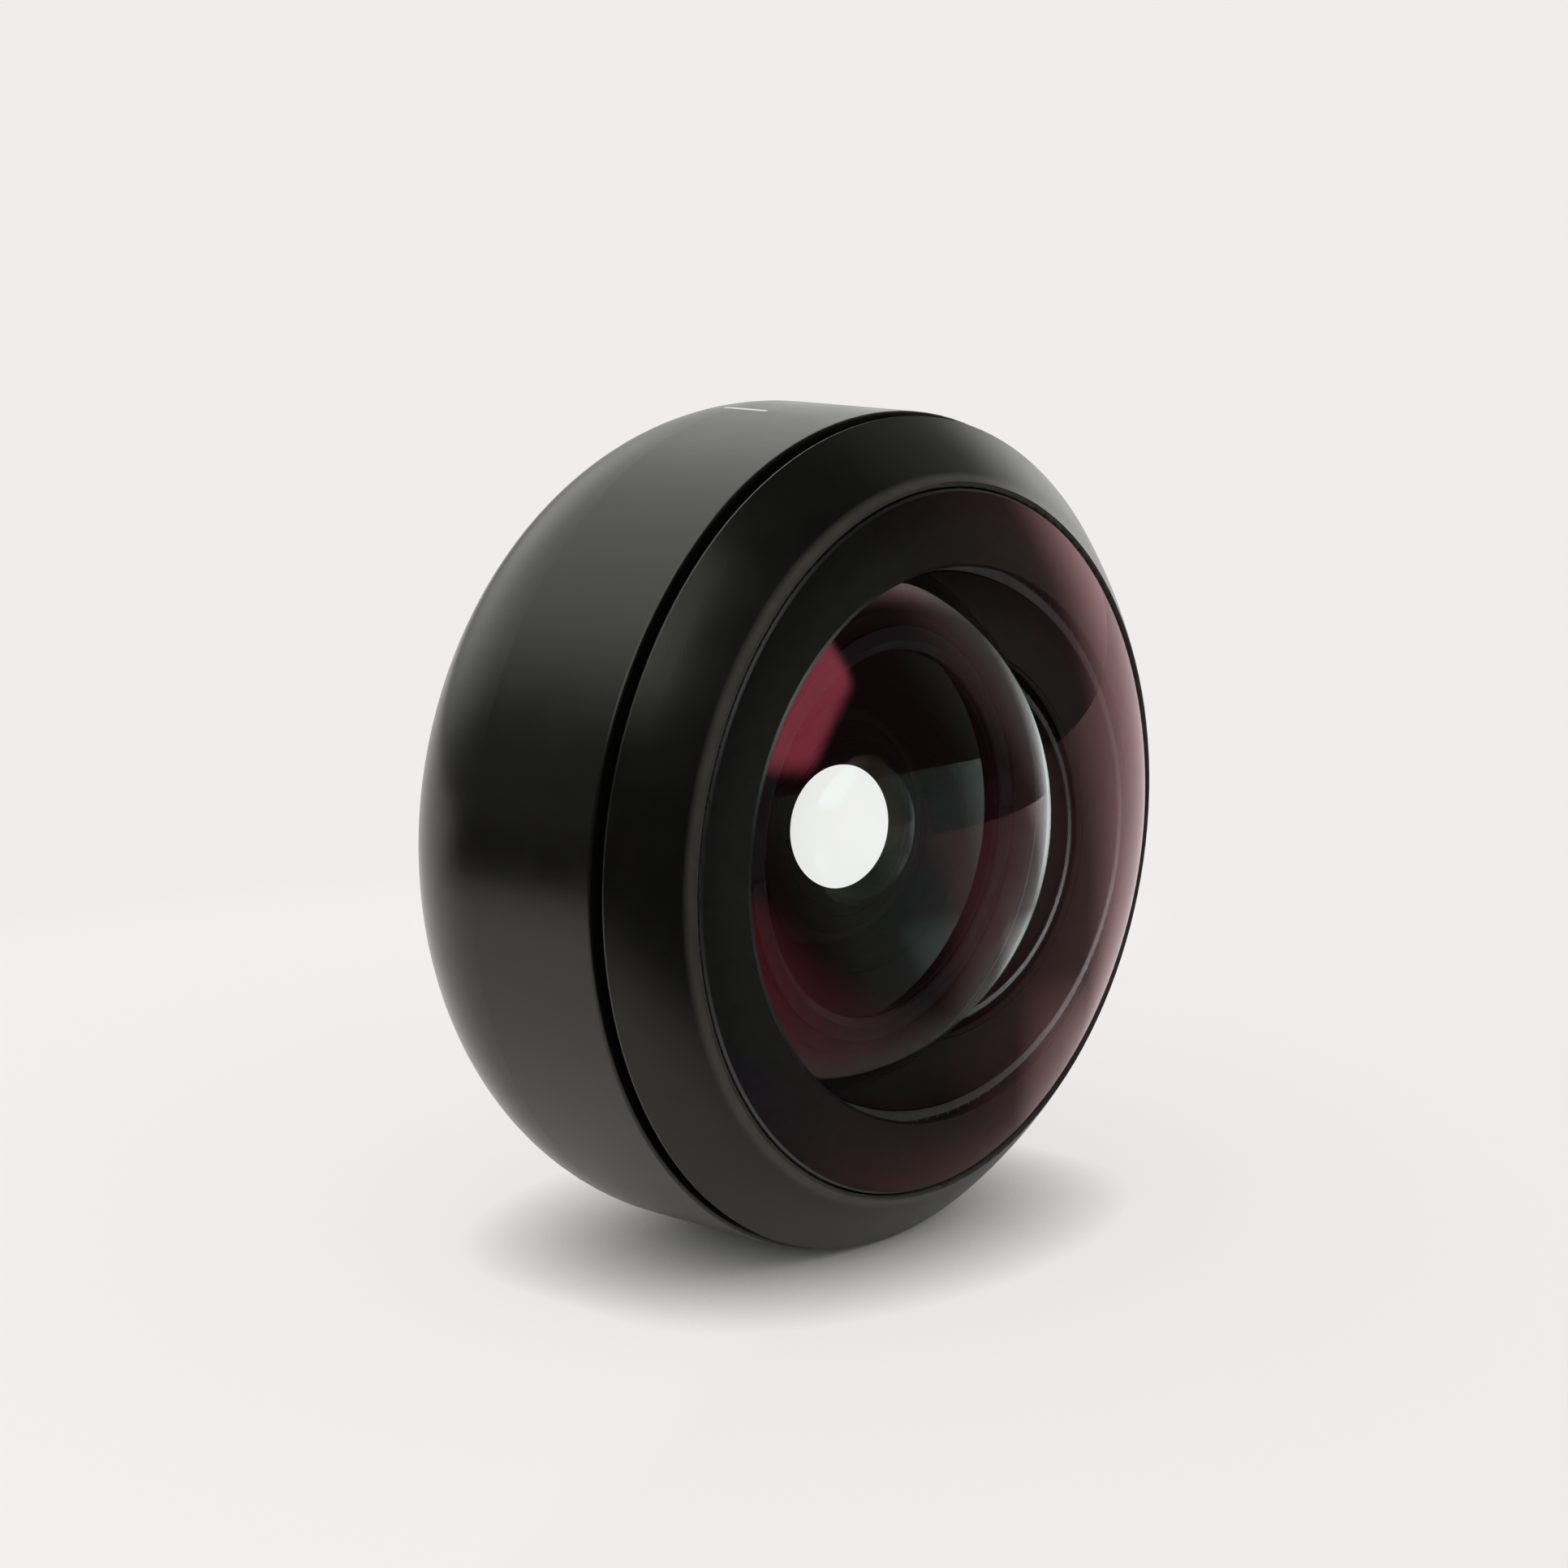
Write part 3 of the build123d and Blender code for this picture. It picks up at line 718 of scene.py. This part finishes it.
def make_floor():
    """A floor that mostly glows for the camera, and is paper of uneven paleness in reflections."""
    half, z = FLOOR_HALF, FLOOR_HEIGHT * MM
    corners = [(-2 * half, -half, z), (2 * half, -half, z), (0, 2 * half, z)]
    mesh = bpy.data.meshes.new("floor")
    mesh.from_pydata(corners, [], [(0, 1, 2)])
    floor = bpy.data.objects.new("floor", mesh)
    scene.collection.objects.link(floor)

    paper = Shader("floor_paper", Roughness=0.9, Specular_IOR_Level=0.0)
    mesh.materials.append(paper.material)
    path = paper.node("ShaderNodeLightPath").outputs
    place = paper.place()
    normalised = paper.node("ShaderNodeVectorMath", operation="NORMALIZE")
    paper.link(place, normalised.inputs[0])
    facing = normalised.outputs["Vector"]
    share = floor_share(paper, place, facing, path["Is Transmission Ray"])
    share = paper.maths("MAXIMUM", share, path["Is Camera Ray"])
    colour = paper.mix(1.0, (*BACKDROP, 1), share, "MULTIPLY")
    paper.link(colour, paper.principled.inputs["Base Color"])

    shade = paper.node("ShaderNodeAmbientOcclusion", samples=SHADE_SAMPLES,
                       Color=(*BACKDROP, 1), Distance=SHADE_REACH)
    glow = paper.node("ShaderNodeEmission")
    paper.link(shade.outputs["Color"], glow.inputs["Color"])
    seen = paper.maths("MULTIPLY", path["Is Camera Ray"], FLOOR_GLOW)
    surface = paper.blend(seen, paper.principled.outputs[0], glow.outputs[0])

    through = paper.node("ShaderNodeEmission", Color=(*THROUGH, 1))
    behind = paper.across(facing, BEHIND_EDGE)
    seen = paper.maths("MULTIPLY", behind, path["Is Transmission Ray"])
    surface = paper.blend(seen, surface, through.outputs[0])
    paper.link(surface, paper.tree.nodes["Material Output"].inputs["Surface"])


def make_world():
    """A dim room with a softbox and patches of light, and the pale backdrop for the camera."""
    world = bpy.data.worlds.new("studio")
    scene.world = world
    world.use_nodes = True
    graph = Graph(world.node_tree)
    place = graph.place("Generated")
    light = SOFTBOX
    for edge in SOFTBOX_EDGES:
        light = graph.maths("MULTIPLY", graph.across(place, edge), light)
    light = graph.maths("ADD", light, ROOM_DARK)
    for middle, inner, outer, strength in PATCHES:
        edge = (
            tuple(Vector(middle).normalized()),
            math.cos(math.radians(outer)),
            math.cos(math.radians(inner)),
        )
        light = graph.maths("ADD", graph.across(place, edge, 0.0, strength), light)
    path = graph.node("ShaderNodeLightPath").outputs
    behind = graph.across(place, BEHIND_EDGE)
    through = graph.maths("MULTIPLY", behind, path["Is Transmission Ray"])
    light = graph.mix(through, light, (*THROUGH, 1))
    light = graph.mix(path["Is Camera Ray"], light, (*BACKDROP, 1))
    graph.link(light, graph.tree.nodes["Background"].inputs["Color"])
    world.cycles_visibility.diffuse = False


def make_lamp(name, source, width, strength):
    """A soft lamp far away that lights matt surfaces; gloss and glass show the room instead."""
    data = bpy.data.lights.new(name, "SUN")
    data.energy = strength * math.pi
    data.angle = math.radians(width)
    lamp = bpy.data.objects.new(name, data)
    scene.collection.objects.link(lamp)
    lamp.rotation_euler = (-Vector(source)).to_track_quat("-Z", "Y").to_euler()
    lamp.visible_glossy = False
    lamp.visible_transmission = False


make_camera()
make_floor()
make_world()
for lamp_values in LAMPS:
    make_lamp(*lamp_values)

scene.view_settings.view_transform = "Standard"
scene.cycles.max_bounces = 32
scene.cycles.transmission_bounces = 32
scene.cycles.glossy_bounces = 16
